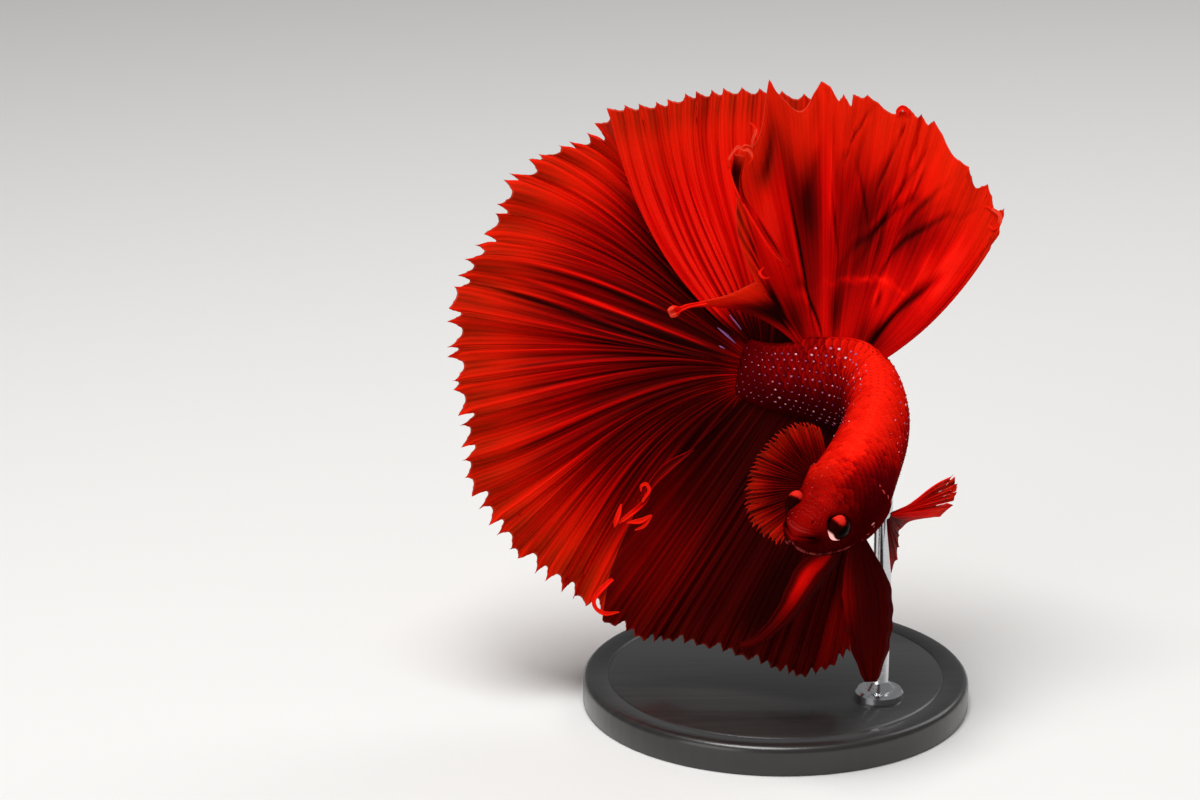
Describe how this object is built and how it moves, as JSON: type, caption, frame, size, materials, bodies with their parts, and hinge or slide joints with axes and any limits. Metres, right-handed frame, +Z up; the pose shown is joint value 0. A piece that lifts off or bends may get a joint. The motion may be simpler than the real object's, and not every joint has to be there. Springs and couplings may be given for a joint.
{
  "type": "betta fish on a display stand",
  "caption": "Life-size male halfmoon betta in full display, fins spread and body turning to its right, on a rod over a plain round base.",
  "frame": {"origin": "centre of the underside of the stand's base", "axes": "+Z up, and -Y the side that the fish faces"},
  "size_m": [0.072, 0.0547, 0.0832],
  "materials": {
    "skin": "bright red scaled skin under a thin wet gloss",
    "fin": "thin rayed membrane, saturated red with orange and olive rims",
    "eye": "wet black pupil in a dark red iris",
    "base": "satin black cast acrylic with a softened edge",
    "rod": "fine brushed stainless steel"
  },
  "bodies": {
    "root": {"head": "skin", "lower_jaw": "skin", "gill_cover_left": "skin", "gill_cover_right": "skin", "shoulders": "skin", "trunk": "skin", "tail_stalk": "skin", "eye_left": "eye", "eye_right": "eye", "dorsal_fin": "fin", "caudal_fin": "fin", "anal_fin": "fin", "pectoral_fin_left": "fin", "pectoral_fin_right": "fin", "ventral_fin_left": "fin", "ventral_fin_right": "fin", "stand_base": "base", "stand_rod": "rod"}
  },
  "joints": []
}
